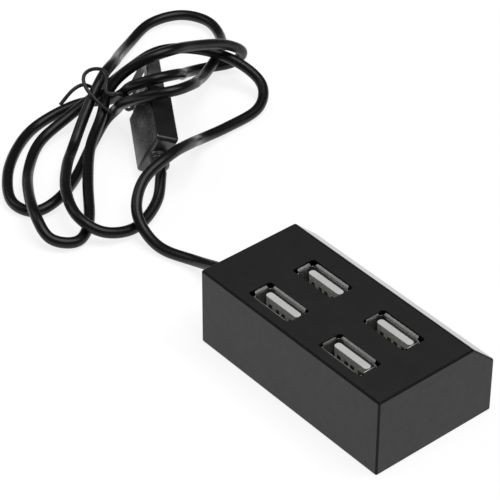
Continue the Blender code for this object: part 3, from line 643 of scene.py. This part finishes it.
def make_socket_tongue(number, x, y, plastic):
    """The tongue, round at its corners, with a groove for each contact, on its foot."""
    length = TONGUE_TIP - SHELL_BOTTOM
    centre = (0, TONGUE_SHIFT, SHELL_BOTTOM + length / 2)
    bm = rounded_bar((*TONGUE_SIZE, length), centre, TONGUE_CORNER)
    tongue = mesh_piece(f"socket_blade_{number}", bm, plastic)
    foot = bmesh.new()
    foot_size = [side - FOOT_SLACK for side in MOUTH_SIZE]
    add_box(foot, (*foot_size, FOOT_HEIGHT), (0, 0, SHELL_BOTTOM + FOOT_HEIGHT / 2))
    combine(tongue, foot, "UNION")
    front = TONGUE_SHIFT - TONGUE_SIZE[1] / 2
    groove_length = GROOVE_TOP - SHELL_BOTTOM
    for contact_x in CONTACT_X:
        groove = bmesh.new()
        size = (GROOVE_WIDTH, GROOVE_CUT, groove_length)
        add_box(groove, size, (contact_x, front, GROOVE_TOP - groove_length / 2))
        combine(tongue, groove, "DIFFERENCE")
    soften(tongue, TONGUE_EDGE, 4, 50)
    tongue.location = (x, y, 0)
    return finish_piece(tongue, "tongue_plastic", f"socket_tongue_{number}")


# Room

def make_floor():
    bm = bmesh.new()
    bmesh.ops.create_grid(bm, x_segments=8, y_segments=8, size=FLOOR_SIZE)
    material, tree, shader = new_material("floor_paper", 0.8, 0.0, 0.1)
    shader.inputs["Emission Color"].default_value = (1.0, 1.0, 1.0, 1.0)
    shader.inputs["Emission Strength"].default_value = FLOOR_GLOW
    drift = add_noise(tree, 300 * MM)
    add_shades(tree, drift, (0.25, 0.25, 0.25), (0.27, 0.27, 0.27), shader.inputs["Base Color"])
    add_bump(tree, shader, [(add_noise(tree, 0.8 * MM), 0.005 * MM)])
    mesh_piece("floor", bm, material)


def add_softbox(name, place, power, size):
    """A square area light turned to the origin."""
    data = bpy.data.lights.new(name, "AREA")
    data.shape = "SQUARE"
    data.size = size
    data.energy = power
    light = link(bpy.data.objects.new(name, data))
    turn = (-Vector(place)).to_track_quat("-Z", "Y").to_matrix().to_4x4()
    light.matrix_world = Matrix.Translation(place) @ turn


def make_lights():
    world = bpy.data.worlds.new("studio")
    world.use_nodes = True
    background = world.node_tree.nodes["Background"]
    background.inputs["Color"].default_value = (1.0, 1.0, 1.0, 1.0)
    background.inputs["Strength"].default_value = WORLD_LIGHT
    bpy.context.scene.world = world
    for softbox in SOFTBOXES:
        add_softbox(*softbox)
    bpy.context.scene.view_settings.view_transform = "Standard"


make_camera()
cord_jacket = jacket("cord_jacket", (0.004, 0.004, 0.004), (0.006, 0.006, 0.006), (0.3, 0.38), 0.01 * MM, 0.3)
lead, lead_path = make_lead(cord_jacket)
tie = make_tie(jacket("tie_jacket", (0.008, 0.008, 0.008), (0.012, 0.012, 0.012), (0.35, 0.5), 0.02 * MM))

steel = plated("plated_steel", (0.36, 0.36, 0.36), (0.46, 0.46, 0.45), (0.32, 0.42), "X", 0.001 * MM)
plug_colors = (0.008, 0.008, 0.0085), (0.011, 0.011, 0.0115)
plug_plastic = moulded("plug_plastic", *plug_colors, (0.24, 0.3), 0.6 * MM, 0.002 * MM, 0.9)
plug_pieces = [make_plug_body(plug_plastic), make_plug_relief(plug_plastic), make_plug_shell(steel)]
grommet = make_grommet(cord_jacket)
on_lead = plug_pieces + [tie, grommet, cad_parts["plug_insulator"]]
on_lead += [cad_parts[f"plug_contact_{pin}"] for pin in range(1, 5)]

case_colors = (0.007, 0.007, 0.0075), (0.009, 0.009, 0.0095)
make_case(
    moulded("case_matt", *case_colors, (0.52, 0.57), 0.25 * MM, 0.012 * MM),
    moulded("case_edge", *case_colors, (0.3, 0.4), 0.25 * MM, 0.005 * MM, 0.1),
    moulded("case_gloss", *case_colors, (0.08, 0.14), 0.4 * MM, 0.001 * MM),
)
tongue_colors = (0.62, 0.62, 0.61), (0.70, 0.70, 0.68)
tongue_plastic = moulded("tongue_ivory", *tongue_colors, (0.4, 0.55), 0.2 * MM, 0.006 * MM)
places = [(x, y) for x in SOCKET_X for y in SOCKET_Y]
for number, (x, y) in enumerate(places, 1):
    make_socket_shell(number, x, y, steel)
    make_socket_tongue(number, x, y, tongue_plastic)


gold = plated("contact_gold", (0.30, 0.21, 0.10), (0.40, 0.29, 0.14), (0.25, 0.4), "Z")
contact_names = [f"socket_{socket}_contact_{pin}" for socket in range(1, 5) for pin in range(1, 5)]
dress(gold, *contact_names, *(f"plug_contact_{pin}" for pin in range(1, 5)))
insulator_colors = (0.62, 0.62, 0.60), (0.7, 0.7, 0.68)
dress(moulded("insulator_white", *insulator_colors, (0.4, 0.5), 0.3 * MM, 0.005 * MM), "plug_insulator")
base_colors = (0.013, 0.013, 0.014), (0.018, 0.018, 0.019)
dress(moulded("base_black", *base_colors, (0.55, 0.75), 0.4 * MM, 0.03 * MM), "base_plate")
zinc = plated("screw_zinc", (0.3, 0.3, 0.31), (0.45, 0.45, 0.46), (0.3, 0.45), "Z")
dress(zinc, *(f"case_screw_{n}" for n in range(1, 5)))
mask_colors = (0.012, 0.10, 0.035), (0.02, 0.16, 0.06)
dress(moulded("solder_mask", *mask_colors, (0.25, 0.4), 1.2 * MM, 0.01 * MM), "circuit_board")
epoxy_colors = (0.015, 0.015, 0.015), (0.025, 0.025, 0.025)
dress(moulded("chip_epoxy", *epoxy_colors, (0.5, 0.65), 0.2 * MM, 0.01 * MM), "hub_controller")
dress(plated("crystal_can", (0.5, 0.5, 0.5), (0.65, 0.65, 0.65), (0.2, 0.3), "X"), "crystal")
sleeve = jacket("capacitor_sleeve", (0.02, 0.03, 0.09), (0.03, 0.045, 0.13), (0.2, 0.35), 0.01 * MM)
dress(sleeve, "filter_capacitor_1", "filter_capacitor_2")
core_colors = ((0.45, 0.02, 0.02), (0.65, 0.65, 0.63), (0.02, 0.27, 0.06), (0.02, 0.02, 0.02))
for number, color in enumerate(core_colors, 1):
    darker = [0.8 * channel for channel in color]
    dress(jacket(f"core_{number}", darker, color, (0.35, 0.5), 0.01 * MM), f"wire_{number}")

make_floor()
make_lights()
